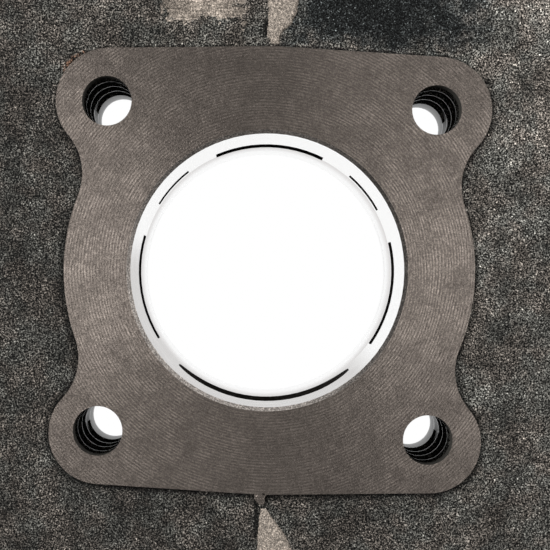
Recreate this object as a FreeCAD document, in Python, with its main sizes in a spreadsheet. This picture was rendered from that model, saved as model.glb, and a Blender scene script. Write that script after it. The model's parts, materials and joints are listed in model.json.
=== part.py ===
"""Air-cooled two-stroke engine cylinder: one iron casting with its bore machined in it.

Millimetres, +Z towards the cylinder head. The origin is on the bore axis at the base gasket
face. The exhaust leaves towards -Y, and the casting's mould parted at the plane X = 0.
"""
import FreeCAD, Part
import math
import os
import re
import Sketcher

NODE = "cylinder"

# Driving dimensions: name and value
SIZES = (
    # Machined bore and head gasket face
    ("bore_diameter", 47.0),
    ("bore_chamfer", 0.65),
    ("deck_height", 55.0),
    ("pad_rise", 1.0),
    ("pad_root_radius", 0.6),
    # Four through studs that clamp the head and the cylinder
    ("stud_spacing", 56.6),
    ("stud_hole", 8.5),
    ("stud_chamfer", 0.4),
    # Outline of the head gasket pad
    ("pad_rear_lobe", 9.1),
    ("pad_front_lobe", 8.75),
    ("pad_bulge", 35.25),
    ("pad_neck", 10.0),
    ("pad_reach", 38.45),
    ("pad_shift", 0.35),
    # Barrel and cooling fins
    ("barrel_wall", 6.0),
    ("fin_count", 4),
    ("fin_pitch", 10.6),
    ("top_fin_depth", 2.4),
    ("fin_root", 5.4),
    ("fin_tip", 3.4),
    ("fin_rim", 3.0),
    ("fin_root_radius", 1.8),
    ("fin_edge_radius", 0.7),
    ("fin_width", 112.0),
    ("fin_length", 108.0),
    ("fin_corner", 14.0),
    ("mould_draft", 2.5),
    # Base flange and the spigot that enters the crankcase
    ("flange_thickness", 11.0),
    ("flange_lobe", 9.5),
    ("flange_bulge", 38.4),
    ("flange_neck", 10.0),
    ("flange_reach", 38.6),
    ("flange_edge_radius", 1.2),
    ("spigot_wall", 2.7),
    ("spigot_length", 18.0),
    ("spigot_chamfer", 1.0),
    ("ring_lead_in", 1.4),
    ("skirt_notch_width", 24.0),
    ("skirt_notch_height", 8.0),
    ("skirt_notch_radius", 6.0),
    # Transfer ports: angle from the exhaust, arc, edges below the deck, depth and roof of the duct
    ("main_angle", 80.7),
    ("main_arc", 48.3),
    ("main_top", 31.4),
    ("main_bottom", 41.0),
    ("main_depth", 10.0),
    ("main_roof", 6.0),
    ("second_angle", 130.5),
    ("second_arc", 20.0),
    ("second_top", 32.4),
    ("second_bottom", 38.9),
    ("second_depth", 7.0),
    ("second_roof", 3.5),
    ("boost_arc", 50.0),
    ("boost_top", 33.6),
    ("boost_bottom", 44.1),
    ("boost_depth", 8.5),
    ("boost_roof", 4.5),
    # Squared block between the studs on each side, and the walls round the ducts
    ("duct_block_lobe", 9.0),
    ("duct_block_overrun", 0.6),
    ("duct_block_height", 25.6),
    ("duct_block_corner", 4.0),
    ("duct_land", 0.6),
    ("duct_ramp", 3.0),
    ("duct_wall", 4.0),
    ("duct_side", 9.0),
    # Exhaust port, passage and flange
    ("exhaust_arc", 84.0),
    ("exhaust_top", 23.7),
    ("exhaust_bottom", 39.2),
    ("exhaust_corner", 4.5),
    ("exhaust_wall", 4.2),
    ("exhaust_proud", 4.0),
    ("outlet_height", 20.5),
    ("outlet_diameter", 25.0),
    ("outlet_flat", 0.2),
    ("gasket_recess_diameter", 28.0),
    ("gasket_recess_depth", 1.5),
    ("exhaust_flange_thickness", 11.0),
    ("exhaust_flange_radius", 17.0),
    ("exhaust_lobe", 8.0),
    ("exhaust_stud_spacing", 42.0),
    ("exhaust_stud_core", 5.0),
    ("exhaust_stud_depth", 9.0),
    # How far a cut starts outside the metal that it removes
    ("overlap", 2.0),
)

doc = FreeCAD.newDocument("engine_cylinder")
sheet = doc.addObject("Spreadsheet::Sheet", "Sizes")
for row, (name, value) in enumerate(SIZES, start=1):
    sheet.set(f"A{row}", name)
    sheet.set(f"B{row}", str(value))
    sheet.setAlias(f"B{row}", name)
doc.recompute()

SIZE_NAMES = re.compile(r"\b(" + "|".join(name for name, _ in SIZES) + r")\b")


def tied(text):
    """An expression in which each size is a reference to the sheet."""
    return SIZE_NAMES.sub(r"Sizes.\1", text)


def size(text):
    """The value of an expression of the sheet's sizes."""
    return float(sheet.evalExpression(tied(text)))


body = doc.addObject("PartDesign::Body", NODE)
body.Label = NODE


# Sketches

def origin_part(role):
    return next(item for item in body.Origin.OriginFeatures if item.Role == role)


def new_sketch(name, role, offset="0", turn="0"):
    """A sketch on an origin plane, moved along its normal and turned about its upright axis."""
    sketch = body.newObject("Sketcher::SketchObject", name)
    sketch.AttachmentSupport = (origin_part(role), [""])
    sketch.MapMode = "FlatFace"
    upright = FreeCAD.Vector(0, 1, 0)
    sketch.AttachmentOffset = FreeCAD.Placement(
        FreeCAD.Vector(0, 0, size(offset)), FreeCAD.Rotation(upright, size(turn))
    )
    if offset != "0":
        sketch.setExpression("AttachmentOffset.Base.z", tied(offset))
    if turn != "0":
        sketch.setExpression("AttachmentOffset.Rotation.Angle", tied(turn))
    return sketch


def dimension(sketch, kind, refs, text):
    """A constraint whose value follows an expression."""
    index = sketch.addConstraint(Sketcher.Constraint(kind, *refs, size(text)))
    sketch.setExpression(f"Constraints[{index}]", tied(text))


def pin(sketch, point, x, y):
    """Hold a point at x and y, each an expression, or on the axis where the expression is 0."""
    for kind, axis, text in (("DistanceX", -2, x), ("DistanceY", -1, y)):
        if text == "0":
            sketch.addConstraint(Sketcher.Constraint("PointOnObject", *point, axis))
        elif size(text) > 0:
            dimension(sketch, kind, (-1, 1, *point), text)
        else:
            dimension(sketch, kind, (*point, -1, 1), f"-({text})")


def flat(x, y):
    return FreeCAD.Vector(x, y, 0)


def line(start, end):
    return "line", start, end


def arc(centre, radius, first, last):
    """An arc from one angle to another, clockwise where the last angle is the smaller."""
    return "arc", centre, radius, first, last


def bearing(centre, point):
    """Angle in degrees of a point as seen from a centre."""
    return math.degrees(math.atan2(point[1] - centre[1], point[0] - centre[0]))


def mirrored(half):
    """The other half of an outline, mirrored in the upright axis and run on in order."""
    other = []
    for piece in reversed(half):
        if piece[0] == "line":
            _, start, end = piece
            other.append(line((-end[0], end[1]), (-start[0], start[1])))
        else:
            _, centre, radius, first, last = piece
            other.append(arc((-centre[0], centre[1]), radius, 180 - last, 180 - first))
    return other


def moved(pieces, across):
    """An outline moved across by a distance."""
    shifted = []
    for piece in pieces:
        if piece[0] == "line":
            shifted.append(line(*((x + across, y) for x, y in piece[1:])))
        else:
            _, (x, y), radius, first, last = piece
            shifted.append(arc((x + across, y), radius, first, last))
    return shifted


def closed_outline(sketch, pieces, corners):
    """Add pieces end to end, tangent at every joint but the starts of those listed as corners."""
    curves = []
    for piece in pieces:
        if piece[0] == "line":
            curve = Part.LineSegment(flat(*piece[1]), flat(*piece[2]))
            curves.append((sketch.addGeometry(curve, False), 1, 2))
            continue
        _, centre, radius, first, last = piece
        whole = Part.Circle(flat(*centre), FreeCAD.Vector(0, 0, 1), radius)
        low, high = math.radians(min(first, last)), math.radians(max(first, last))
        index = sketch.addGeometry(Part.ArcOfCircle(whole, low, high), False)
        curves.append((index, 1, 2) if first < last else (index, 2, 1))
    for k, (index, start, _) in enumerate(curves):
        before, _, end = curves[k - 1]
        kind = "Coincident" if k in corners else "Tangent"
        sketch.addConstraint(Sketcher.Constraint(kind, before, end, index, start))
    return curves


def polygon(sketch, corners):
    """A closed outline of corners (x, y), or (x, y, radius) where a square corner is rounded."""
    points = [flat(size(corner[0]), size(corner[1])) for corner in corners]
    bends = []
    for k, (here, corner) in enumerate(zip(points, corners)):
        back = (points[k - 1] - here).normalize()
        ahead = (points[(k + 1) % len(points)] - here).normalize()
        radius = size(corner[2]) if len(corner) == 3 else 0
        bends.append((here + back * radius, here + ahead * radius, back + ahead, radius))
    pieces, sharp, held = [], set(), []
    for k, (into, out, inward, radius) in enumerate(bends):
        x, y = corners[k][:2]
        if radius:
            centre = points[k] + inward * radius
            first = bearing(centre, into)
            swing = (bearing(centre, out) - first + 180) % 360 - 180
            x = f"{x} {'+' if inward.x > 0 else '-'} {corners[k][2]}"
            y = f"{y} {'+' if inward.y > 0 else '-'} {corners[k][2]}"
            held.append((len(pieces), 3, x, y, corners[k][2]))
            pieces.append(arc((centre.x, centre.y), radius, first, first + swing))
        else:
            sharp.add(len(pieces))
            held.append((len(pieces), 1, x, y, None))
        ahead = bends[(k + 1) % len(bends)][0]
        pieces.append(line((out.x, out.y), (ahead.x, ahead.y)))
    curves = closed_outline(sketch, pieces, sharp)
    for piece, point, x, y, radius in held:
        pin(sketch, (curves[piece][0], point), x, y)
        if radius:
            dimension(sketch, "Radius", (curves[piece][0],), radius)


def circle(sketch, x, y, diameter):
    """A circle with its centre held at x, y."""
    curve = Part.Circle(flat(size(x), size(y)), FreeCAD.Vector(0, 0, 1), size(diameter) / 2)
    index = sketch.addGeometry(curve, False)
    pin(sketch, (index, 3), x, y)
    dimension(sketch, "Diameter", (index,), diameter)


def stud_quarter(x, y, lobe, bulge, neck, reach):
    """Where the curves of an outline meet, between the side and the rear, for a lobe about x, y."""
    run = math.hypot(x, reach - y)
    slope = math.atan2(reach - y, x) - math.asin(lobe / run)
    length = math.sqrt(run ** 2 - lobe ** 2)
    touch = (length * math.cos(slope), reach - length * math.sin(slope))
    far, near, diagonal = bulge + neck, lobe + neck, math.hypot(x, y)
    spread = math.acos((far ** 2 + diagonal ** 2 - near ** 2) / (2 * far * diagonal))
    turn = math.atan2(y, x) - spread
    centre = (far * math.cos(turn), far * math.sin(turn))
    tip = 90 - math.degrees(slope)
    return touch, centre, math.degrees(turn), bearing((x, y), centre), tip


def stud_outline(sketch, front_lobe, rear_lobe, bulge, neck, reach, shift="0"):
    """Outline round the four studs; its front and rear edges fall back from the parting plane."""
    x, front_y = "stud_spacing / 2", f"(stud_spacing / 2 + {rear_lobe} - {front_lobe})"
    across, bend, end, middle = size(x), size(neck), size(reach), size(shift)
    touch, centre, turn, waist, tip = stud_quarter(
        across, size(front_y), size(front_lobe), size(bulge), bend, end
    )
    right = [
        line((0, -end), (touch[0], -touch[1])),
        arc((across, -size(front_y)), size(front_lobe), -tip, -waist),
        arc((centre[0], -centre[1]), bend, 180 - waist, 180 - turn),
    ]
    low_turn = turn
    touch, centre, turn, waist, tip = stud_quarter(
        across, across, size(rear_lobe), size(bulge), bend, end
    )
    right += [
        arc((0, 0), size(bulge), -low_turn, turn),
        arc(centre, bend, 180 + turn, 180 + waist),
        arc((across, across), size(rear_lobe), waist, tip),
        line(touch, (0, end)),
    ]
    pieces = moved(right + mirrored(right), middle)
    curves = [index for index, _, _ in closed_outline(sketch, pieces, (0, len(right)))]
    pin(sketch, (curves[0], 1), shift, f"-{reach}")
    pin(sketch, (curves[len(right)], 1), shift, reach)
    for sign, half in (("", curves[:7]), ("-", curves[:6:-1])):
        pin(sketch, (half[1], 3), f"{sign}{x} + {shift}", f"-{front_y}")
        dimension(sketch, "Radius", (half[1],), front_lobe)
        pin(sketch, (half[5], 3), f"{sign}{x} + {shift}", x)
        dimension(sketch, "Radius", (half[5],), rear_lobe)
        for index in (half[2], half[4]):
            dimension(sketch, "Radius", (index,), neck)
        pin(sketch, (half[3], 3), shift, "0")
        dimension(sketch, "Radius", (half[3],), bulge)


def fin_outline(sketch):
    """Outline of the fins, drafted on its front and rear edges away from the parting plane."""
    across = "fin_width / 2 - fin_corner"
    along = f"fin_length / 2 - ({across}) * tan(mould_draft) - fin_corner / cos(mould_draft)"
    x, y, radius = size(across), size(along), size("fin_corner")
    draft, reach = size("mould_draft"), size("fin_length / 2")
    lean = math.radians(draft)
    touch = (x + radius * math.sin(lean), -y - radius * math.cos(lean))
    right = [
        line((0, -reach), touch),
        arc((x, -y), radius, draft - 90, 0),
        line((x + radius, -y), (x + radius, y)),
        arc((x, y), radius, 0, 90 - draft),
        line((touch[0], -touch[1]), (0, reach)),
    ]
    outline = closed_outline(sketch, right + mirrored(right), (0, len(right)))
    curves = [index for index, _, _ in outline]
    pin(sketch, (curves[0], 1), "0", "-fin_length / 2")
    pin(sketch, (curves[len(right)], 1), "0", "fin_length / 2")
    for index, x, y in ((curves[1], "", "-"), (curves[3], "", ""),
                        (curves[6], "-", ""), (curves[8], "-", "-")):
        pin(sketch, (index, 3), f"{x}({across})", f"{y}({along})")
        dimension(sketch, "Radius", (index,), "fin_corner")


def exhaust_flange_outline(sketch):
    """A round centre and two stud lobes joined by tangent lines."""
    middle = (0, size("outlet_height"))
    across = size("exhaust_stud_spacing / 2")
    big, small = size("exhaust_flange_radius"), size("exhaust_lobe")
    lean = math.degrees(math.acos((big - small) / across))
    cos, sin = math.cos(math.radians(lean)), math.sin(math.radians(lean))
    low_big = (big * cos, middle[1] - big * sin)
    low_small = (across + small * cos, middle[1] - small * sin)
    high_big = (low_big[0], 2 * middle[1] - low_big[1])
    high_small = (low_small[0], 2 * middle[1] - low_small[1])
    pieces = [
        arc(middle, big, lean - 180, -lean),
        line(low_big, low_small),
        arc((across, middle[1]), small, -lean, lean),
        line(high_small, high_big),
        arc(middle, big, lean, 180 - lean),
        line((-high_big[0], high_big[1]), (-high_small[0], high_small[1])),
        arc((-across, middle[1]), small, 180 - lean, 180 + lean),
        line((-low_small[0], low_small[1]), (-low_big[0], low_big[1])),
    ]
    curves = [index for index, _, _ in closed_outline(sketch, pieces, ())]
    for index, x, radius in (
        (curves[0], "0", "exhaust_flange_radius"),
        (curves[2], "exhaust_stud_spacing / 2", "exhaust_lobe"),
        (curves[4], "0", "exhaust_flange_radius"),
        (curves[6], "-exhaust_stud_spacing / 2", "exhaust_lobe"),
    ):
        pin(sketch, (index, 3), x, "outlet_height")
        dimension(sketch, "Radius", (index,), radius)


# Features

def new_feature(kind, name, profile, **settings):
    """A feature of the body; a text setting is an expression of the sizes, unless it is a choice."""
    feature = body.newObject("PartDesign::" + kind, name)
    if profile is not None:
        feature.Profile = profile
    for key, value in settings.items():
        if isinstance(value, str) and key not in ("Type", "SideType", "DepthType"):
            setattr(feature, key, size(value))
            feature.setExpression(key, tied(value))
        else:
            setattr(feature, key, value)
    body.Tip = feature
    doc.recompute()
    return feature


def about_bore(kind, name, profile, **settings):
    """A revolved feature about the bore's axis."""
    return new_feature(kind, name, profile, ReferenceAxis=(profile, ["V_Axis"]), **settings)


def edges(wanted):
    """Names of the edges of the body so far that a test picks out."""
    return [f"Edge{k}" for k, edge in enumerate(body.Tip.Shape.Edges, start=1) if wanted(edge)]


def dress(kind, name, wanted, **settings):
    """A fillet or a chamfer on the edges of the body so far that a test picks out."""
    base = (body.Tip, edges(wanted))
    feature = body.newObject("PartDesign::" + kind, name)
    feature.Base = base
    for key, value in settings.items():
        if isinstance(value, str):
            setattr(feature, key, size(value))
            feature.setExpression(key, tied(value))
        else:
            setattr(feature, key, value)
    body.Tip = feature
    doc.recompute()
    return feature


def round_edge(radius, height=None):
    """A test for circular edges about the bore's axis, of a radius and at a height."""
    def wanted(edge):
        curve = edge.Curve
        if not isinstance(curve, Part.Circle) or abs(curve.Radius - size(radius)) > 1e-4:
            return False
        if math.hypot(curve.Center.x, curve.Center.y) > 1e-4:
            return False
        return height is None or abs(curve.Center.z - size(height)) < 1e-4
    return wanted


def middle_of(edge):
    """Half-way point of an edge, and its distance from the bore's axis."""
    point = edge.valueAt((edge.FirstParameter + edge.LastParameter) / 2)
    return point, math.hypot(point.x, point.y)


def upright(edge):
    return abs(edge.Vertexes[0].Point.z - edge.Vertexes[-1].Point.z) > size("fin_tip") / 2


def fin_rim(edge):
    """The long edges round the fins."""
    return middle_of(edge)[1] > 0.9 * size("fin_length / 2") and not upright(edge)


def outline_edge(height, bulge):
    """A test for the edges of an outline round the studs, at a height."""
    def wanted(edge):
        point, reach = middle_of(edge)
        return abs(point.z - size(height)) < 1e-4 and reach > size(bulge) - 1
    return wanted


def pad_foot(edge):
    """Edges where the sides of the head gasket pad meet the top fin."""
    point, reach = middle_of(edge)
    return abs(point.z - size(CAST_TOP)) < 1e-4 and reach < size(PAD_CORNER) + 0.5


def stud_hole_end(edge):
    """Edges of the stud holes in the base gasket face."""
    curve = edge.Curve
    return isinstance(curve, Part.Circle) and abs(curve.Center.z) < 1e-4 and (
        abs(curve.Radius - size("stud_hole / 2")) < 1e-4
    )


BARREL = "(bore_diameter / 2 + barrel_wall)"
TAPER_END = "(min(fin_width; fin_length) / 2 - fin_rim)"
TIP_RADIUS = "(hypot(fin_width; fin_length) / 2)"
CAST_TOP = "(deck_height - pad_rise)"
PAD_CORNER = "(stud_spacing / sqrt(2) + pad_rear_lobe + pad_shift)"
SPIGOT = "(bore_diameter / 2 + spigot_wall)"
EXHAUST_FACE = "(fin_length / 2 + exhaust_proud)"
OPEN = "(bore_diameter / 2 - overlap)"


# Barrel and fins, turned about the bore's axis and cut to the outline of the fins

profile = new_sketch("barrel_profile", "XZ_Plane")
corners = [("0", "0"), (BARREL, "0")]
for k in reversed(range(int(size("fin_count")))):
    middle = f"{CAST_TOP} - top_fin_depth - {k} * fin_pitch"
    corners.append((BARREL, f"{middle} - fin_root / 2"))
    corners += [(radius, f"{middle} - fin_tip / 2") for radius in (TAPER_END, TIP_RADIUS)]
    if k > 0:
        corners += [(radius, f"{middle} + fin_tip / 2") for radius in (TIP_RADIUS, TAPER_END)]
        corners.append((BARREL, f"{middle} + fin_root / 2"))
corners += [(TIP_RADIUS, CAST_TOP), ("0", CAST_TOP)]
polygon(profile, corners)
about_bore("Revolution", "barrel_and_fins", profile, Angle=360.0)
dress("Fillet", "fin_roots", round_edge(BARREL), Radius="fin_root_radius")

profile = new_sketch("fin_edges", "XY_Plane")
circle(profile, "0", "0", f"2 * {TIP_RADIUS} + overlap")
fin_outline(profile)
new_feature("Pocket", "fin_trim", profile, Length="deck_height", Reversed=True)
dress("Fillet", "fin_rims", fin_rim, Radius="fin_edge_radius")

# Base flange, spigot and head gasket pad

profile = new_sketch("flange_outline", "XY_Plane")
stud_outline(profile, "flange_lobe", "flange_lobe", "flange_bulge", "flange_neck", "flange_reach")
new_feature("Pad", "base_flange", profile, Length="flange_thickness")
dress("Fillet", "flange_rim", outline_edge("flange_thickness", "flange_bulge"), Radius="flange_edge_radius")

profile = new_sketch("spigot_outline", "XY_Plane")
circle(profile, "0", "0", f"2 * {SPIGOT}")
new_feature("Pad", "spigot", profile, Length="spigot_length", Reversed=True)
dress("Chamfer", "spigot_end", round_edge(SPIGOT, "-spigot_length"), Size="spigot_chamfer")

profile = new_sketch("pad_outline", "XY_Plane", offset="deck_height")
stud_outline(
    profile, "pad_front_lobe", "pad_rear_lobe", "pad_bulge", "pad_neck", "pad_reach", "pad_shift"
)
new_feature("Pad", "head_pad", profile, Length="pad_rise + top_fin_depth", Reversed=True)
dress("Fillet", "pad_root", pad_foot, Radius="pad_root_radius")


# Transfer ducts: a squared block between the studs on each side and walls that swell from the
# barrel, hollowed once the exhaust is on

BLOCK_X = "(stud_spacing / 2 + duct_block_lobe)"
BLOCK_Y = "(stud_spacing / 2 + duct_block_overrun)"

profile = new_sketch("duct_block_outline", "XY_Plane")
polygon(profile, [
    (f"{x}{BLOCK_X}", f"{y}{BLOCK_Y}", "duct_block_corner")
    for x, y in (("-", "-"), ("", "-"), ("", ""), ("-", ""))
])
new_feature("Pad", "duct_block", profile, Length="duct_block_height")

DUCTS = (
    ("main_right", "-90 + main_angle", "main"),
    ("main_left", "-90 - main_angle", "main"),
    ("second_right", "-90 + second_angle", "second"),
    ("second_left", "-90 - second_angle", "second"),
    ("boost", "90", "boost"),
)

for name, angle, port in DUCTS:
    top = f"deck_height - {port}_top + duct_wall"
    reach = f"bore_diameter / 2 + {port}_depth + duct_wall"
    profile = new_sketch(name + "_wall_profile", "XZ_Plane", turn=angle)
    polygon(profile, [
        (OPEN + " + duct_wall", "0"),
        (reach, "0"),
        (reach, top, f"({port}_roof + duct_wall)"),
        (OPEN + " + duct_wall", top),
    ])
    swell = f"{port}_arc + 2 * duct_side"
    about_bore("Revolution", name + "_wall", profile, Angle=swell, Midplane=True)

# Exhaust: a pipe from the port to its flange, with the passage cut through it afterwards

EXHAUST_MIDDLE = "(deck_height - exhaust_top / 2 - exhaust_bottom / 2)"
PORT_HALF_HEIGHT = "((exhaust_bottom - exhaust_top) / 2)"
PORT_HALF_WIDTH = "(bore_diameter / 2 * sin(exhaust_arc / 2))"
PORT_PLANE = "(bore_diameter / 2 * cos(exhaust_arc / 2) - overlap)"


def passage_section(name, offset, wide, high, centre, corner, wall):
    """A rounded section of the exhaust passage, or of its outside a wall away."""
    sketch = new_sketch(name, "XZ_Plane", offset=offset)
    polygon(sketch, [
        (f"{x}({wide} + {wall})", f"{centre} {y} ({high} + {wall})", f"({corner} + {wall})")
        for x, y in (("-", "-"), ("", "-"), ("", "+"), ("-", "+"))
    ])
    return sketch


def passage(kind, name, wall, port_offset, outlet_offset):
    """A loft from the arc-shaped port to the round outlet."""
    port = passage_section(
        name + "_port", port_offset, PORT_HALF_WIDTH, PORT_HALF_HEIGHT,
        EXHAUST_MIDDLE, "exhaust_corner", wall,
    )
    outlet = passage_section(
        name + "_outlet", outlet_offset, "outlet_diameter / 2", "outlet_diameter / 2",
        "outlet_height", "(outlet_diameter / 2 - outlet_flat)", wall,
    )
    new_feature(kind, name, port, Sections=[outlet], Ruled=True, Refine=kind == "AdditiveLoft")


passage(
    "AdditiveLoft", "exhaust_pipe", "exhaust_wall", PORT_PLANE + " + overlap", EXHAUST_FACE + " - overlap"
)

profile = new_sketch("exhaust_flange_outline", "XZ_Plane", offset=EXHAUST_FACE)
exhaust_flange_outline(profile)
new_feature("Pad", "exhaust_flange", profile, Length="exhaust_flange_thickness", Reversed=True)


# Machined bore, chamfered at both ends. Its wall stays two faces, a plain stretch above the
# ports and the ported stretch below, so what follows leaves the faces unmerged.

profile = new_sketch("bore_profile", "XZ_Plane")
polygon(profile, [
    ("0", "-spigot_length - overlap"),
    ("bore_diameter / 2 + ring_lead_in + overlap", "-spigot_length - overlap"),
    ("bore_diameter / 2", "-spigot_length + ring_lead_in"),
    ("bore_diameter / 2", "deck_height - exhaust_top + overlap"),
    ("bore_diameter / 2", "deck_height - bore_chamfer"),
    ("bore_diameter / 2 + bore_chamfer + overlap", "deck_height + overlap"),
    ("0", "deck_height + overlap"),
])
about_bore("Groove", "bore", profile, Angle=360.0, Refine=False)

for name, angle, port in DUCTS:
    top, bottom = f"deck_height - {port}_top", f"deck_height - {port}_bottom"
    inner = SPIGOT + " + duct_land"
    profile = new_sketch(name + "_duct_profile", "XZ_Plane", turn=angle)
    polygon(profile, [
        (inner, "-overlap"),
        (f"bore_diameter / 2 + {port}_depth", "-overlap"),
        (f"bore_diameter / 2 + {port}_depth", top, f"{port}_roof"),
        (OPEN, top),
        (OPEN, bottom),
        ("bore_diameter / 2", bottom),
        (inner, f"{bottom} - duct_ramp"),
    ])
    about_bore("Groove", name + "_duct", profile, Angle=f"{port}_arc", Midplane=True, Refine=False)

passage("SubtractiveLoft", "exhaust_passage", "0", PORT_PLANE, EXHAUST_FACE + " + overlap")
profile = new_sketch("gasket_recess_outline", "XZ_Plane", offset=EXHAUST_FACE + " + overlap")
circle(profile, "0", "outlet_height", "gasket_recess_diameter")
new_feature("Pocket", "gasket_recess", profile, Length="gasket_recess_depth + overlap", Refine=False)


# Holes

profile = new_sketch("stud_hole_centres", "XY_Plane", offset="deck_height")
for x in ("", "-"):
    for y in ("", "-"):
        circle(profile, f"{x}stud_spacing / 2", f"{y}stud_spacing / 2", "stud_hole")
new_feature("Hole", "stud_holes", profile, Diameter="stud_hole", DepthType="ThroughAll", Refine=False)
dress("Chamfer", "stud_hole_ends", stud_hole_end, Size="stud_chamfer", Refine=False)

profile = new_sketch("exhaust_stud_centres", "XZ_Plane", offset=EXHAUST_FACE)
for x in ("", "-"):
    circle(profile, f"{x}exhaust_stud_spacing / 2", "outlet_height", "exhaust_stud_core")
new_feature(
    "Hole", "exhaust_studs", profile,
    Diameter="exhaust_stud_core", Depth="exhaust_stud_depth", Refine=False,
)

profile = new_sketch("skirt_notch_outline", "YZ_Plane", offset="-fin_width / 2")
low, high = "-spigot_length - overlap", "-spigot_length + skirt_notch_height"
polygon(profile, [
    ("-skirt_notch_width / 2", low),
    ("skirt_notch_width / 2", low),
    ("skirt_notch_width / 2", high, "skirt_notch_radius"),
    ("-skirt_notch_width / 2", high, "skirt_notch_radius"),
])
new_feature("Pocket", "skirt_notches", profile, Length="fin_width", Reversed=True, Refine=False)


doc.recompute()
for item in doc.Objects:
    if "Invalid" in item.State or "Error" in item.State:
        raise RuntimeError(f"{item.Name} is {item.State}")
shape = body.Shape
if shape.isNull() or not shape.isValid() or len(shape.Solids) != 1:
    raise RuntimeError(f"{NODE} is not one valid solid")
os.makedirs("parts", exist_ok=True)
shape.exportStep(f"parts/{NODE}.step")
print(NODE, f"volume {shape.Volume / 1000:.1f} cm3, box", shape.BoundBox)
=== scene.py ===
"""Looks of the engine cylinder: a cast-iron two-stroke cylinder seen straight down on its head face."""
import json
import math
import bpy
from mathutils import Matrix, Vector, noise


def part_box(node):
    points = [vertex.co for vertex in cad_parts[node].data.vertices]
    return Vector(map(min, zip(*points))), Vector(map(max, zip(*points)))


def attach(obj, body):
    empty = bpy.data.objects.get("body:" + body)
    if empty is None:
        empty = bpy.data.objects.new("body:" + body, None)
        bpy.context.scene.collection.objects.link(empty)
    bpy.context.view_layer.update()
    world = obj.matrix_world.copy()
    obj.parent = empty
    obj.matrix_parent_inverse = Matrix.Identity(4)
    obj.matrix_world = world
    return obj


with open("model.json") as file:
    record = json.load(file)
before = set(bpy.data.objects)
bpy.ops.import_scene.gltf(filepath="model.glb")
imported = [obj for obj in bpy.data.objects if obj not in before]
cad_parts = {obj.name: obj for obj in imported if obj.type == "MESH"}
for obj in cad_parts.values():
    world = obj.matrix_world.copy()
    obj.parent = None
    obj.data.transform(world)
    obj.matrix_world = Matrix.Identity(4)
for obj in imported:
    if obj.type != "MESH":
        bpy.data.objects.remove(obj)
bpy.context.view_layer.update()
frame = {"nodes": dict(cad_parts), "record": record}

MM = 0.001
cylinder = frame["nodes"]["cylinder"]
LOW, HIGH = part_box("cylinder")
MOUNTS = {mount["name"]: mount for mount in frame["record"]["mounts"]}

# Places worked out from the frame, in metres
DECK = HIGH.z
BORE_RADIUS = MOUNTS["piston_bore"]["dims"]["r_mm"] * MM
SPIGOT_RADIUS = MOUNTS["spigot"]["dims"]["r_mm"] * MM
STUD_RADIUS = MOUNTS["head_studs"]["dims"]["hole_r_mm"] * MM
STUD_OFFSET = MOUNTS["head_studs"]["dims"]["spacing_x_mm"] * MM / 2
EXHAUST_PLANE = -MOUNTS["exhaust_face"]["pos_m"][1]
EXHAUST_CENTRE = Vector(MOUNTS["exhaust_studs"]["pos_m"])
EXHAUST_SPACING = MOUNTS["exhaust_studs"]["dims"]["spacing_x_mm"] * MM
EXHAUST_HOLE = MOUNTS["exhaust_studs"]["dims"]["hole_r_mm"] * MM
FIN_TOP = DECK - 1.0 * MM

# Heights above the base gasket face, and the outer edge of the block beside the stud holes
FLANGE_TOP = 12.0 * MM
PORTS_END = 13.0 * MM
BLOCK_TOP = 25.8 * MM
BLOCK_EDGE = STUD_OFFSET + 0.6 * MM
# Upper edge of the lowest fin at the stud holes, the step from fin to fin, and the top fin's foot
FIN_EDGE, FIN_PITCH, TOP_LAND = 22.0 * MM, 10.6 * MM, 48.0 * MM

# The photograph's framing: 550 pixels square, looking straight down on the head face
PHOTO_PIXELS = 550
METRES_PER_PIXEL = 0.1713 * MM
BORE_PIXEL = (267.3, 270.4)
UNDER_CAMERA_PIXEL = (255.0, 282.0)
CAMERA_ABOVE_DECK = 421 * MM
OBJECT_ROLL = math.radians(1.6)
SENSOR_WIDTH = 36.0


# Shader nodes

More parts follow.
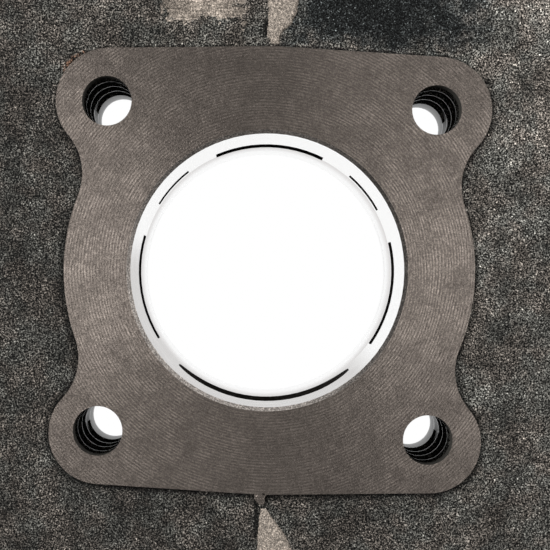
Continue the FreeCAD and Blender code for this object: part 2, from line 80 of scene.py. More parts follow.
class Graph:
    """A node material with short ways to add what its surface is made of."""

    def __init__(self, name):
        self.material = bpy.data.materials.new(name)
        self.material.use_nodes = True
        self.tree = self.material.node_tree
        self.tree.nodes.clear()
        self.place = self.add("ShaderNodeNewGeometry").outputs["Position"]

    def add(self, kind, **settings):
        node = self.tree.nodes.new(kind)
        for key, value in settings.items():
            setattr(node, key, value)
        return node

    def put(self, socket, value):
        if isinstance(value, bpy.types.NodeSocket):
            self.tree.links.new(value, socket)
        else:
            socket.default_value = value

    def math(self, operation, a, b=0.0, clamp=False):
        node = self.add("ShaderNodeMath", operation=operation, use_clamp=clamp)
        self.put(node.inputs[0], a)
        self.put(node.inputs[1], b)
        return node.outputs[0]

    def plus(self, value, *others):
        for other in others:
            value = self.math("ADD", value, other)
        return value

    def minus(self, a, b):
        return self.math("SUBTRACT", a, b)

    def times(self, value, *others):
        for other in others:
            value = self.math("MULTIPLY", value, other)
        return value

    def power(self, base, exponent):
        return self.math("POWER", base, exponent)

    def absolute(self, value):
        return self.math("ABSOLUTE", value)

    def hypot(self, x, y):
        return self.math("SQRT", self.plus(self.times(x, x), self.times(y, y)))

    def step(self, value, low, high):
        """0 below low, 1 above high, and a smooth rise between them, or a fall if low is higher."""
        node = self.add("ShaderNodeMapRange", interpolation_type="SMOOTHSTEP")
        self.put(node.inputs["Value"], value)
        backwards = low > high
        node.inputs["From Min"].default_value = min(low, high)
        node.inputs["From Max"].default_value = max(low, high)
        node.inputs["To Min"].default_value = 1.0 if backwards else 0.0
        node.inputs["To Max"].default_value = 0.0 if backwards else 1.0
        return node.outputs["Result"]

    def between(self, value, low, high):
        """The value 0 to 1 spread over low to high."""
        node = self.add("ShaderNodeMapRange")
        self.put(node.inputs["Value"], value)
        node.inputs["To Min"].default_value = low
        node.inputs["To Max"].default_value = high
        return node.outputs["Result"]

    def mix(self, factor, a, b):
        """Colour a where the factor is 0 and b where it is 1."""
        return self.mixed("RGBA", factor, a, b)

    def blend(self, factor, a, b):
        """Number a where the factor is 0 and b where it is 1."""
        return self.mixed("FLOAT", factor, a, b)

    def mixed(self, data_type, factor, a, b):
        node = self.add("ShaderNodeMix", data_type=data_type)
        self.put(node.inputs["Factor"], factor)
        self.put(node.inputs["A"], a)
        self.put(node.inputs["B"], b)
        return node.outputs["Result"]

    def split(self, vector):
        node = self.add("ShaderNodeSeparateXYZ")
        self.put(node.inputs[0], vector)
        return node.outputs[0], node.outputs[1], node.outputs[2]

    def join(self, x, y, z):
        node = self.add("ShaderNodeCombineXYZ")
        for socket, value in zip(node.inputs, (x, y, z)):
            self.put(socket, value)
        return node.outputs[0]

    def noise(self, size, vector=None, detail=2.0, rough=0.5, seed=0.0):
        """Noise from 0 to 1 whose lumps are about size across, in metres."""
        node = self.add("ShaderNodeTexNoise", noise_dimensions="4D")
        self.put(node.inputs["Vector"], vector or self.place)
        node.inputs["W"].default_value = seed
        node.inputs["Scale"].default_value = 1 / size
        node.inputs["Detail"].default_value = detail
        node.inputs["Roughness"].default_value = rough
        return node.outputs["Fac"]

    def cells(self, size, seed):
        """Distance to the middle of the nearest grain of about a size, and random numbers for that grain."""
        node = self.add("ShaderNodeTexVoronoi", voronoi_dimensions="4D")
        self.put(node.inputs["Vector"], self.place)
        node.inputs["W"].default_value = seed
        node.inputs["Scale"].default_value = 1 / size
        return node.outputs["Distance"], node.outputs["Color"]

    def scale(self, colour, level):
        """A colour made lighter or darker by a level."""
        node = self.add("ShaderNodeVectorMath", operation="SCALE")
        self.put(node.inputs[0], colour if isinstance(colour, bpy.types.NodeSocket) else colour[:3])
        self.put(node.inputs["Scale"], level)
        return node.outputs[0]

    def stretched(self, across, along):
        """The place, squeezed along X and Y so that what is drawn there is drawn out."""
        x, y, z = self.split(self.place)
        return self.join(self.times(x, across), self.times(y, along), z)

    def corner_shade(self, reach):
        """1 in an inward corner and 0 from about reach away from it, where shade is painted."""
        node = self.add("ShaderNodeAmbientOcclusion", samples=6, only_local=True)
        node.inputs["Distance"].default_value = reach
        return self.step(node.outputs["AO"], 0.98, 0.66)

    def bump(self, height, depth, strength=1.0):
        """Relief of a height from 0 to 1 that is depth deep, in metres."""
        node = self.add("ShaderNodeBump")
        self.put(node.inputs["Height"], height)
        node.inputs["Distance"].default_value = depth
        node.inputs["Strength"].default_value = strength
        return node.outputs["Normal"]

    def surface(self, **inputs):
        """The surface shader, with its sockets by name; underscores stand for spaces."""
        shader = self.add("ShaderNodeBsdfPrincipled")
        for name, value in inputs.items():
            self.put(shader.inputs[name.replace("_", " ")], value)
        output = self.add("ShaderNodeOutputMaterial")
        self.tree.links.new(shader.outputs[0], output.inputs["Surface"])
        return self.material


def grey(level, warmth=0.0):
    """A linear grey, made warmer or cooler."""
    return level * (1 + warmth), level, level * (1 - warmth), 1.0


# The cast skin

# Grains by size across, and the tone each gives, painted shade in hollows and pits and painted glints on
# crowns and knobs; of two tones the second is for the right rear
FINE_SIZE, FINE_TONE = 0.30 * MM, 0.62
GRIT_SIZE, GRIT_TONE = 0.17 * MM, 0.50
CROWN_SIZE, CROWN_TONES = 0.44 * MM, (0.40, 0.72)
KNOB_SIZE, KNOB_TONES, PIT_TONES = 0.78 * MM, (0.14, 0.42), (0.10, 0.16)
BASE_TONES, DARKEST_TONE = (0.23, 0.27), 0.02
# What ground metal is evened out to, and how far
EVEN_TONE, EVEN_SHARE = 0.32, 0.6
DISPLAY_POWER = 2.2

# Patches of thick paint, ground metal and rust on the top fin, by their centres and half sizes
BLOTCH_CENTRE, BLOTCH_HALF = (18.0 * MM, 45.5 * MM), (14.5 * MM, 6.0 * MM)
GROUND_CENTRE, GROUND_HALF = (-12.0 * MM, 46.5 * MM), (6.8 * MM, 3.8 * MM)
RUST_CENTRE, RUST_HALF = (-34.4 * MM, 35.0 * MM), (2.0 * MM, 1.7 * MM)
RUST_RADIUS = 9.2 * MM
PATCH_WANDER = 2.4
# Stretches over which the skin turns to its right rear tones, gets lighter, and in the corners turns from
# black painted shadow to lighter
RIGHT_REAR_ACROSS, RIGHT_REAR_ALONG = (15 * MM, 45 * MM), (-110 * MM, 25 * MM)
LIGHTER_ALONG = (5 * MM, 60 * MM)
BRIGHTER_ALONG = (-24 * MM, 10 * MM)
# Lines of the painted shadow of the seam beside the flash, in front and behind
SEAM_FRONT, SEAM_REAR = -0.75 * MM, -1.45 * MM

# What the tone is scaled by
# The lumps' contrast, which paints shade in their hollows and light on their tops
LUMP_SHADE_CONTRAST = 40.0
CLOUD_LEVELS = (0.2, 1.8)
PAINT_LEVELS = (0.44, 0.60)
ALONG_LEVELS = (0.96, 1.35)
BLOTCH_GLINT_LEVELS = (0.20, 1.3)
GROUND_LEVELS = (1.3, 4.6)
FLASH_LEVELS = (0.8, 2.8)
CORNER_SHADE_LEVELS = (0.0, 1.3)
# Painted shade in the pad's corner, painted shadow at the seam, and rust
CREVICE_SHADE_LEVEL, SEAM_SHADOW_LEVEL, RUST_LEVEL = 0.35, 0.15, 1.3

# Hues, which a level scales
PAINT_HUES = ((1.02, 1.0, 0.90, 1.0), (1.13, 1.0, 0.87, 1.0))
BLOTCH_HUE = (0.91, 1.0, 0.99, 1.0)
GROUND_HUE = (1.17, 1.0, 0.84, 1.0)
RUST_HUE = (1.7, 0.95, 0.62, 1.0)


def sand_grain(g, towards_right_rear, ground):
    """Relief of sand-cast iron from 0 to 1, and its tone, which follows the relief as painted shade in the
    hollows and pits and painted glints on the crowns and knobs; towards the right rear the glints are
    brighter, ground is more even.
    """
    fine = g.noise(FINE_SIZE, detail=1.0)
    grit = g.noise(GRIT_SIZE, detail=0.0, seed=3.0)
    distance, random = g.cells(CROWN_SIZE, seed=2.0)
    bright, _, _ = g.split(random)
    crown = g.times(g.step(distance, 0.48, 0.10), g.power(bright, 3.0))
    distance, random = g.cells(KNOB_SIZE, seed=4.0)
    bright, deep, _ = g.split(random)
    knob = g.times(g.step(distance, 0.42, 0.12), g.power(bright, 4.0))
    pit = g.times(g.step(distance, 0.60, 0.15), g.power(deep, 2.0))
    relief = g.plus(g.times(fine, 0.45), g.times(grit, 0.30), g.times(crown, 0.25))
    tone = g.plus(
        g.between(fine, -FINE_TONE, FINE_TONE), g.between(grit, -GRIT_TONE, GRIT_TONE),
        g.times(crown, g.blend(towards_right_rear, *CROWN_TONES)), g.times(knob, g.blend(towards_right_rear, *KNOB_TONES)),
    )
    tone = g.minus(tone, g.times(pit, g.blend(towards_right_rear, *PIT_TONES)))
    tone = g.math("MAXIMUM", g.plus(tone, g.blend(towards_right_rear, *BASE_TONES)), DARKEST_TONE)
    tone = g.blend(g.times(ground, EVEN_SHARE), tone, EVEN_TONE)
    return relief, g.power(tone, DISPLAY_POWER)


def patch(g, centre, half, ragged, soft, seed):
    """A ragged patch on the top fin: 1 inside, 0 outside, from its centre and half sizes."""
    x, y, z = g.split(g.place)
    across = g.math("DIVIDE", g.absolute(g.minus(x, centre[0])), half[0])
    along = g.math("DIVIDE", g.absolute(g.minus(y, centre[1])), half[1])
    wander = g.times(g.minus(g.noise(ragged, detail=4.0, rough=0.65, seed=seed), 0.5), PATCH_WANDER)
    inside = g.step(g.plus(g.math("MAXIMUM", across, along), wander), 1.0 + soft, 1.0 - soft)
    return g.times(inside, g.step(z, FIN_TOP - 2.5 * MM, FIN_TOP - 1.5 * MM))


def crevice_shade(g):
    """1 where shade is painted in the corner where the gasket pad rises from the top fin, broken by gaps."""
    _, _, z = g.split(g.place)
    foot = g.step(z, FIN_TOP + 0.01 * MM, FIN_TOP + 0.04 * MM)
    wall = g.step(z, FIN_TOP + 0.65 * MM, FIN_TOP + 0.45 * MM)
    return g.times(foot, wall, g.step(g.noise(1.2 * MM, seed=31.0), 0.40, 0.55))


def rust(g):
    """1 in the rust that sits against the pad's lobe round the left rear stud hole."""
    x, y, _ = g.split(g.place)
    spread = g.hypot(g.plus(x, STUD_OFFSET), g.minus(y, STUD_OFFSET))
    near = g.step(g.absolute(g.minus(spread, RUST_RADIUS)), 0.9 * MM, 0.2 * MM)
    thin = g.step(g.noise(0.9 * MM, detail=2.0, seed=27.0), 0.42, 0.58)
    return g.times(near, thin, patch(g, RUST_CENTRE, RUST_HALF, 1.2 * MM, 0.3, 25.0))


def seam_shadow(g):
    """1 in the painted shadow of the steps beside the flash, where the mould's halves met."""
    x, y, _ = g.split(g.place)
    wander = g.times(g.minus(g.noise(1.1 * MM, seed=51.0), 0.5), 0.9 * MM)
    front = g.times(
        g.step(g.absolute(g.plus(x, -SEAM_FRONT, wander)), 0.50 * MM, 0.25 * MM),
        g.step(y, -47 * MM, -44 * MM), g.step(y, -38 * MM, -39 * MM),
    )
    rear = g.times(
        g.step(g.absolute(g.plus(x, -SEAM_REAR, wander)), 0.55 * MM, 0.25 * MM),
        g.step(y, 44 * MM, 42.5 * MM), g.step(y, 39.5 * MM, 40.5 * MM),
    )
    return g.math("MAXIMUM", front, rear)


def cast_skin():
    """Sand-cast iron under black paint, lighter towards the right rear and thick in one blotch, with its
    grain's painted shade and glints, painted shade where the pad rises and at the seam, and painted shadow
    in the corners.
    """
    g = Graph("cast_skin")
    x, y, z = g.split(g.place)
    towards_right_rear = g.times(g.step(x, *RIGHT_REAR_ACROSS), g.step(y, *RIGHT_REAR_ALONG))
    blotch = patch(g, BLOTCH_CENTRE, BLOTCH_HALF, 4 * MM, 0.35, 11.0)
    ground = patch(g, GROUND_CENTRE, GROUND_HALF, 2 * MM, 0.06, 15.0)
    stain = rust(g)
    relief, level = sand_grain(g, towards_right_rear, ground)
    lump = g.noise(4.4 * MM, detail=3.0, rough=1.0, seed=7.0)
    cloud = g.noise(11 * MM, detail=3.0, rough=0.6, seed=5.0)
    speck_glint = g.step(g.noise(0.36 * MM, detail=1.0, seed=13.0), 0.56, 0.74)
    streak = g.noise(0.30 * MM, g.stretched(0.10, 1.0), detail=1.0, seed=21.0)
    corner_shade = g.times(g.corner_shade(1.3 * MM), g.step(z, FIN_TOP - 0.3 * MM, FIN_TOP - 0.1 * MM))
    brighter = g.step(g.plus(y, g.times(x, 0.5)), *BRIGHTER_ALONG)
    level = g.times(
        level,
        g.between(cloud, *CLOUD_LEVELS),
        # the lumps' painted shade and light, following their relief
        g.power(LUMP_SHADE_CONTRAST, g.minus(lump, 0.5)),
        # lighter towards the right rear
        g.blend(towards_right_rear, *PAINT_LEVELS),
        g.blend(g.step(y, *LIGHTER_ALONG), *ALONG_LEVELS),
        # painted glints on specks in the dark blotch
        g.blend(blotch, 1.0, g.between(speck_glint, *BLOTCH_GLINT_LEVELS)),
        # painted shade where the pad rises from the fin
        g.blend(crevice_shade(g), 1.0, CREVICE_SHADE_LEVEL),
        # painted shadow of the seam's steps
        g.blend(seam_shadow(g), 1.0, SEAM_SHADOW_LEVEL),
        # painted shadow in the corners at the pad's foot, lighter instead towards the rear and right
        g.blend(corner_shade, 1.0, g.blend(brighter, *CORNER_SHADE_LEVELS)),
        g.blend(ground, 1.0, g.between(streak, *GROUND_LEVELS)),
        g.blend(stain, 1.0, RUST_LEVEL),
    )
    colour = g.mix(g.step(g.noise(4 * MM, detail=3.0, seed=9.0), 0.38, 0.62), *PAINT_HUES)
    colour = g.mix(blotch, colour, BLOTCH_HUE)
    colour = g.mix(ground, colour, GROUND_HUE)
    colour = g.mix(stain, colour, RUST_HUE)
    return g.surface(
        Base_Color=g.scale(colour, level), Roughness=0.6, Specular_IOR_Level=0.04,
        Normal=g.bump(g.plus(relief, g.times(lump, 0.5)), 0.35 * MM),
    )


def ground_metal():
    """Moulding flash dressed down by hand, bare and coarse."""
    g = Graph("ground_metal")
    # Its grain's tone carries painted shade in the hollows and painted glints, as on the cast skin
    relief, level = sand_grain(g, 0.5, 1.0)
    streak = g.noise(0.30 * MM, g.stretched(0.25, 1.0), detail=2.0, seed=41.0)
    level = g.times(level, g.between(streak, *FLASH_LEVELS))
    return g.surface(
        Base_Color=g.scale(GROUND_HUE, level), Roughness=0.55, Specular_IOR_Level=0.12,
        Normal=g.bump(relief, 0.30 * MM),
    )


def inner_cast():
    """Unpainted cast walls of the ducts and the exhaust passage, nearly black as painted shade."""
    g = Graph("inner_cast")
    grain = g.noise(0.8 * MM, detail=3.0, rough=0.6)
    # nearly black: painted shade of the deep ducts
    tone = g.mix(grain, grey(0.003, 0.05), grey(0.025, 0.10))
    return g.surface(
        Base_Color=tone, Roughness=0.7, Specular_IOR_Level=0.03, Normal=g.bump(grain, 0.3 * MM)
    )


# Machined metal

DECK_HUE = (1.17, 1.0, 0.88, 1.0)
DECK_LEVEL = 0.067
# How strongly the marks show, at the middle of the marks' relief and by how far to the side, stronger to the
# left and right as painted highlight
DECK_CONTRAST, DECK_MIDDLE, HIGHLIGHT_SIDE_CONTRAST = 45.0, 0.40, (0.70, 1.30)
# The tool's feed for each turn, how long its marks are drawn and what each kind adds to the relief
TOOL_PITCH, MARK_LENGTH = 0.5 * MM, 6.0 * MM
MARK_SHARE, FLECK_SHARE, FEED_SHARES = 0.26, 0.44, (0.04, 0.13)

MILLED_HUE, MILLED_LEVEL = (1.14, 1.0, 0.88, 1.0), 0.16
# The milled faces' marks are drawn out this many times along X and Y
MILLED_STRETCH = 20

# Towards the exhaust side of the bore, a little to the left, where the wall has painted shade and the
# chamfer painted highlight
EXHAUST_SIDE = (-0.42, -0.91)
EDGE_HUE = (1.10, 1.0, 0.92, 1.0)
# The chamfer's contrast, its painted highlight's levels and its painted shade on the right
EDGE_CONTRAST, EDGE_HIGHLIGHT_LEVELS, EDGE_RIGHT_SHADE = 40.0, (0.10, 0.26), 0.45
# The bore wall's plain tone and its painted shade on the exhaust side
BORE_PLAIN, BORE_PAINTED_SHADE = (0.95, 0.95, 0.945, 1.0), (0.37, 0.345, 0.33, 1.0)
# The wall's painted shade close under the ports, and its tone at its lower end
BORE_UNDER_SHADE, BORE_END = (0.52, 0.49, 0.48, 1.0), grey(0.97)
# How steeply the crossed honing marks climb
HONING_SLOPE = 0.6

# Painted shade on the stud holes' walls through the fins: its hue and level
HOLE_SHADE_HUE, HOLE_SHADE_LEVEL = (1.05, 1.0, 0.9, 1.0), 0.07
# Painted highlights on the upper edges of the fins inside the stud holes
RIM_HIGHLIGHT_LEVEL = 0.45
# Painted shine of the bare wall low in the stud holes: lighter towards its foot, on the drill's rings and on
# the lip of the flange
FOOT_SHINE, RING_SHINES, LIP_SHINE = 0.15, (-0.04, 0.17), 0.12
# The share of that painted shine that is left on the right, as painted shade
RIGHT_SHARE = 0.40


def turned_deck():
    """The head gasket face, turned about the bore's axis."""
    g = Graph("turned_deck")
    x, y, _ = g.split(g.place)
    radius = g.hypot(x, y)
    around = g.join(radius, g.times(g.math("ARCTAN2", y, x), MARK_LENGTH), 0.0)
    drift = g.noise(3.0 * MM, around, detail=1.0, seed=12.0)
    turns = g.plus(g.times(radius, math.tau / TOOL_PITCH), g.times(drift, 12.0))
    feed = g.times(g.plus(g.math("SINE", turns), 1.0), 0.5)
    shown = g.step(g.noise(3.5 * MM, detail=1.0, seed=14.0), 0.35, 0.65)
    marks = g.noise(0.22 * MM, around, detail=1.0)
    fleck = g.noise(0.22 * MM, detail=1.0, seed=8.0)
    mottle = g.noise(2.4 * MM, detail=2.0, rough=1.0, seed=18.0)
    cloud = g.noise(9 * MM, detail=3.0, seed=6.0)
    relief = g.plus(
        g.times(marks, MARK_SHARE), g.times(fleck, FLECK_SHARE),
        g.times(feed, g.between(shown, *FEED_SHARES)),
    )
    highlight_side = g.absolute(g.math("DIVIDE", x, radius))
    # the marks are painted stronger to the left and right, where the lamps' highlight falls
    strength = g.times(g.minus(relief, DECK_MIDDLE), g.between(highlight_side, *HIGHLIGHT_SIDE_CONTRAST))
    level = g.times(
        g.power(DECK_CONTRAST, strength), g.between(cloud, 0.8, 1.2), g.between(mottle, 0.75, 1.25),
        DECK_LEVEL,
    )
    return g.surface(
        Base_Color=g.scale(DECK_HUE, level), Metallic=1.0, Roughness=0.46, Anisotropic=0.88,
        Tangent=g.join(x, y, 0.0), Normal=g.bump(relief, 0.13 * MM),
    )


def machined_face():
    """A milled or turned face off the deck, with the tool's lines level."""
    g = Graph("machined_face")
    lay = g.stretched(1 / MILLED_STRETCH, 1 / MILLED_STRETCH)
    lines = g.noise(0.22 * MM, lay, detail=1.0, seed=2.0)
    fleck = g.noise(0.24 * MM, detail=1.0, seed=4.0)
    cloud = g.noise(6 * MM, detail=4.0, rough=0.6, seed=6.0)
    marks = g.plus(g.times(lines, 0.5), g.times(fleck, 0.5))
    level = g.times(g.between(marks, 0.1, 1.9), g.between(cloud, 0.4, 1.6), MILLED_LEVEL)
    return g.surface(
        Base_Color=g.scale(MILLED_HUE, level), Metallic=1.0, Roughness=0.40,
        Normal=g.bump(marks, 0.04 * MM),
    )


def towards_exhaust_side(g):
    """How far a place lies towards the exhaust side of the bore."""
    x, y, _ = g.split(g.place)
    return g.plus(g.times(x, EXHAUST_SIDE[0]), g.times(y, EXHAUST_SIDE[1]))


def bore_edge():
    """The chamfer of the bore, with painted highlight on the exhaust side and painted shade across from it
    and on the right.
    """
    g = Graph("bore_edge")
    x, _, _ = g.split(g.place)
    bright = g.step(towards_exhaust_side(g), -8 * MM, 20 * MM)
    fleck = g.noise(0.24 * MM, detail=1.0, seed=4.0)
    level = g.times(
        g.power(EDGE_CONTRAST, g.minus(fleck, 0.5)), g.blend(bright, *EDGE_HIGHLIGHT_LEVELS),
        g.blend(g.step(x, 5 * MM, 20 * MM), 1.0, EDGE_RIGHT_SHADE),
    )
    return g.surface(
        Base_Color=g.scale(EDGE_HUE, level), Metallic=1.0, Roughness=0.40,
        Normal=g.bump(fleck, 0.05 * MM),
    )


def honed_bore():
    """Bore wall with fine crossed honing marks, painted shade on the exhaust side and close under the ports,
    fading towards its lower end.
    """
    g = Graph("honed_bore")
    x, y, z = g.split(g.place)
    climb = g.times(g.math("ARCTAN2", y, x), BORE_RADIUS, HONING_SLOPE)
    one = g.noise(0.25 * MM, g.join(g.plus(z, climb), 0.0, 0.0))
    two = g.noise(0.25 * MM, g.join(g.minus(z, climb), 1.0, 0.0))
    marks = g.times(g.plus(one, two), 0.5)
    # painted shade on the exhaust side, uneven
    painted_shade = g.step(towards_exhaust_side(g), 3 * MM, 11 * MM)
    painted_shade = g.times(painted_shade, g.between(g.noise(5 * MM, detail=2.0, seed=3.0), 0.6, 1.4))
    above = g.mix(painted_shade, BORE_PLAIN, BORE_PAINTED_SHADE)
    # painted shade close under the ports, fading towards the lower end
    below = g.mix(g.step(z, PORTS_END, PORTS_END - 20 * MM), BORE_UNDER_SHADE, BORE_END)
    tone = g.mix(g.step(z, PORTS_END + 1 * MM, PORTS_END - 1 * MM), above, below)
    return g.surface(
        Base_Color=g.scale(tone, g.between(marks, 0.88, 1.12)), Metallic=1.0, Roughness=0.22,
        Normal=g.bump(marks, 0.004 * MM, 0.4),
    )


def drilled_wall():
    """Walls of the stud holes: painted shade through the fins, with painted highlights on the fins' upper
    edges, and bare metal in the base flange and ducts with a painted shine.
    """
    g = Graph("drilled_wall")
    x, y, z = g.split(g.place)
    block = g.times(
        g.step(z, BLOCK_TOP + 0.5 * MM, BLOCK_TOP - 6 * MM),
        g.step(g.absolute(y), BLOCK_EDGE + 2.0 * MM, BLOCK_EDGE - 2.0 * MM),
    )
    low = g.math("MAXIMUM", block, g.step(z, FLANGE_TOP + 0.5 * MM, FLANGE_TOP))
    turn = g.math("FRACT", g.math("DIVIDE", g.minus(z, FIN_EDGE - FIN_PITCH / 2), FIN_PITCH))
    # painted highlight on each fin's upper edge
    rim = g.step(g.absolute(g.minus(turn, 0.5)), 0.075, 0.025)
    rim = g.times(rim, g.step(z, TOP_LAND, TOP_LAND - 1 * MM))
    shade_noise = g.noise(0.5 * MM, detail=2.0, seed=17.0)
    # painted shade through the fins, uneven, with the rims' painted highlights
    dark = g.mix(rim, g.scale(HOLE_SHADE_HUE, g.times(shade_noise, HOLE_SHADE_LEVEL)), grey(RIM_HIGHLIGHT_LEVEL))
    rings = g.noise(0.30 * MM, g.join(z, 0.0, 0.0), detail=1.0)
    foot = g.power(g.minus(1.0, g.math("DIVIDE", z, FLANGE_TOP, clamp=True)), 1.6)
    lip = g.step(g.absolute(g.minus(z, FLANGE_TOP - 0.6 * MM)), 0.7 * MM, 0.3 * MM)
    # painted shine: lighter towards the foot, on the rings and at the lip
    shine = g.plus(g.times(foot, FOOT_SHINE), g.between(rings, *RING_SHINES), g.times(lip, LIP_SHINE))
    # painted shade on the right
    shade = g.times(g.step(x, -STUD_OFFSET, STUD_OFFSET), g.step(z, FLANGE_TOP, FLANGE_TOP + 1 * MM))
    bare = g.scale(grey(1.0), g.times(shine, g.blend(shade, 1.0, RIGHT_SHARE)))
    return g.surface(
        Base_Color=g.mix(low, dark, bare), Metallic=g.math("MAXIMUM", low, rim),
        Roughness=g.blend(rim, 0.45, 0.28), Specular_IOR_Level=0.0,
        Normal=g.bump(rings, 0.03 * MM, 0.6),
    )


# Finishes of the casting

FINISHES = {
    "cast": cast_skin(),
    "deck": turned_deck(),
    "chamfer": bore_edge(),
    "bore": honed_bore(),
    "face": machined_face(),
    "duct": inner_cast(),
    "hole": drilled_wall(),
}

NEAR = 0.05 * MM
CHAMFER_REACH = 1 * MM
STUD_CHAMFER_REACH = 0.5 * MM
DUCT_REACH = BORE_RADIUS + 10.3 * MM
# The exhaust passage: the middle of its port, half sizes, where it starts, and slack round it
PORT_MIDDLE = 23.55 * MM
PORT_HALF_WIDTH, PORT_HALF_HEIGHT = 15.8 * MM, 7.8 * MM
OUTLET_RADIUS = 14.0 * MM
PORT_PLANE = 15.4 * MM
PASSAGE_SLACK = 0.7 * MM


def in_exhaust(point):
    """Whether a point lies on or inside the exhaust passage, which goes from its port to its outlet."""
    along = (-point.y - PORT_PLANE) / (EXHAUST_PLANE - PORT_PLANE)
    if along < 0:
        return False
    wide = PORT_HALF_WIDTH + (OUTLET_RADIUS - PORT_HALF_WIDTH) * along + PASSAGE_SLACK
    high = PORT_HALF_HEIGHT + (OUTLET_RADIUS - PORT_HALF_HEIGHT) * along + PASSAGE_SLACK
    middle = PORT_MIDDLE + (EXHAUST_CENTRE.z - PORT_MIDDLE) * along
    return abs(point.x) < wide and abs(point.z - middle) < high


def zone_of(points, normal):
    """Which finish a facet of the casting has, from where its corners are."""
    reach = [math.hypot(p.x, p.y) for p in points]
    heights = [p.z for p in points]
    stud = [math.hypot(abs(p.x) - STUD_OFFSET, abs(p.y) - STUD_OFFSET) for p in points]
    if min(heights) > DECK - NEAR:
        return "deck"
    if max(reach) < BORE_RADIUS + NEAR and max(heights) < DECK:
        return "bore"
    if max(reach) < BORE_RADIUS + CHAMFER_REACH and min(heights) > DECK - CHAMFER_REACH:
        return "chamfer"
    if max(stud) < STUD_RADIUS + STUD_CHAMFER_REACH:
        return "hole"
    if max(heights) < NEAR and max(reach) < SPIGOT_RADIUS + NEAR:
        return "face"
    if max(abs(z) for z in heights) < NEAR and normal.z < -0.9:
        return "face"
    if max(p.y for p in points) < -EXHAUST_PLANE + NEAR:
        return "face"
    if min(reach) > BORE_RADIUS - NEAR and max(reach) < DUCT_REACH and max(heights) < BLOCK_TOP:
        return "duct" if min(heights) > LOW.z + NEAR else "cast"
    if all(in_exhaust(p) for p in points):
        return "duct"
    return "cast"


mesh = cylinder.data
mesh.materials.clear()
for finish in FINISHES.values():
    mesh.materials.append(finish)
zones = list(FINISHES)
for facet in mesh.polygons:
    corners = [mesh.vertices[k].co for k in facet.vertices]
    facet.material_index = zones.index(zone_of(corners, facet.normal))


def add_piece(name, points, faces, material, smooth=False):
    """A piece of the cylinder; if it is smooth, its ends of other than four corners stay flat."""
    data = bpy.data.meshes.new(name)
    data.from_pydata(points, [], faces)
    data.materials.append(material)
    data.polygons.foreach_set("use_smooth", [smooth and len(face) == 4 for face in faces])
    piece = bpy.data.objects.new(name, data)
    bpy.context.scene.collection.objects.link(piece)
    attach(piece, "root")


# Moulding flash and the pad's nub

STATION_STEPS, RIDGE_COLUMNS = 14, 25
# The foot lies a little inside the fin, and the closed underside deeper
FOOT_HEIGHT = FIN_TOP - 0.05 * MM
UNDERSIDE_DROP = 0.3 * MM
EDGE_WANDER, EDGE_LUMP = 0.35 * MM, 1.1 * MM
# Roughness of the top: how high and how far across
TOP_LUMPS = ((0.07 * MM, 0.5 * MM), (0.10 * MM, 1.9 * MM))


def ridge(name, stations, material):
    """A rough bar along Y: each station gives its place, its two edges and its top."""
    rows = []
    for start, end in zip(stations, stations[1:]):
        for k in range(STATION_STEPS):
            rows.append([a + (b - a) * k / STATION_STEPS for a, b in zip(start, end)])
    rows.append(stations[-1])
    points, faces = [], []
    for y, left, right, top in rows:
        for k in range(RIDGE_COLUMNS):
            share = k / (RIDGE_COLUMNS - 1)
            side = 1.0 - abs(2 * share - 1)
            place = Vector((left + (right - left) * share, y, 0.0))
            wander = noise.noise(place / EDGE_LUMP) * EDGE_WANDER * min(1.0, 4 * side + 0.4)
            rough = sum(noise.noise(place / across) * high for high, across in TOP_LUMPS)
            height = FOOT_HEIGHT + (top - FOOT_HEIGHT) * min(1.0, 5 * side)
            height = height + rough * min(1.0, 3 * side)
            points.append((place.x + wander, y, min(max(height, FOOT_HEIGHT), DECK)))
        points.append((right, y, FOOT_HEIGHT - UNDERSIDE_DROP))
        points.append((left, y, FOOT_HEIGHT - UNDERSIDE_DROP))
    ring = RIDGE_COLUMNS + 2
    last = (len(rows) - 1) * ring
    for first in range(0, last, ring):
        for k in range(ring):
            a, b = first + k, first + (k + 1) % ring
            faces.append((b, a, a + ring, b + ring))
    faces.append(tuple(range(ring)))
    faces.append(tuple(reversed(range(last, last + ring))))
    add_piece(name, points, faces, material, smooth=True)


def station(y, left, right, height):
    """A station on the top fin, in millimetres, with its height above it."""
    return y * MM, left * MM, right * MM, FIN_TOP + height * MM


GROUND_METAL = ground_metal()
ridge("parting_flash_front", [
    station(-53.6, -0.7, 6.6, 0.30), station(-50.0, -0.5, 6.4, 0.42), station(-47.2, -0.4, 5.4, 0.45),
    station(-45.0, -0.4, 4.1, 0.42), station(-43.2, -0.3, 2.7, 0.38), station(-40.9, 0.0, 0.9, 0.22),
], GROUND_METAL)
ridge("parting_flash_rear", [
    station(38.9, -0.4, 1.2, 0.20), station(40.2, -1.1, 0.9, 0.36), station(41.2, -1.2, 1.7, 0.40),
    station(42.2, -1.1, 2.9, 0.42), station(44.6, -1.1, 4.0, 0.45), station(47.5, -1.3, 4.2, 0.42),
    station(50.5, -1.4, 3.6, 0.40), station(53.6, -1.2, 2.4, 0.30),
], GROUND_METAL)
ridge("pad_nub", [
    station(-38.2, -1.5, 1.3, 1.0), station(-39.2, -1.2, 0.9, 1.0), station(-40.2, -0.4, 0.4, 0.6),
], FINISHES["deck"])


# Threads of the exhaust stud holes

THREAD_PITCH, THREAD_TURNS, THREAD_STEPS = 1.0 * MM, 8, 40
# How far inside the face the first turn's middle lies
THREAD_START = 0.5 * MM
THREAD_ROOT, THREAD_CREST = EXHAUST_HOLE + 0.03 * MM, EXHAUST_HOLE - 0.28 * MM
# The ridge's section: radius and place along the hole
THREAD_SECTION = (
    (THREAD_ROOT, -0.40 * MM), (THREAD_CREST, -0.06 * MM),
    (THREAD_CREST, 0.06 * MM), (THREAD_ROOT, 0.40 * MM),
)


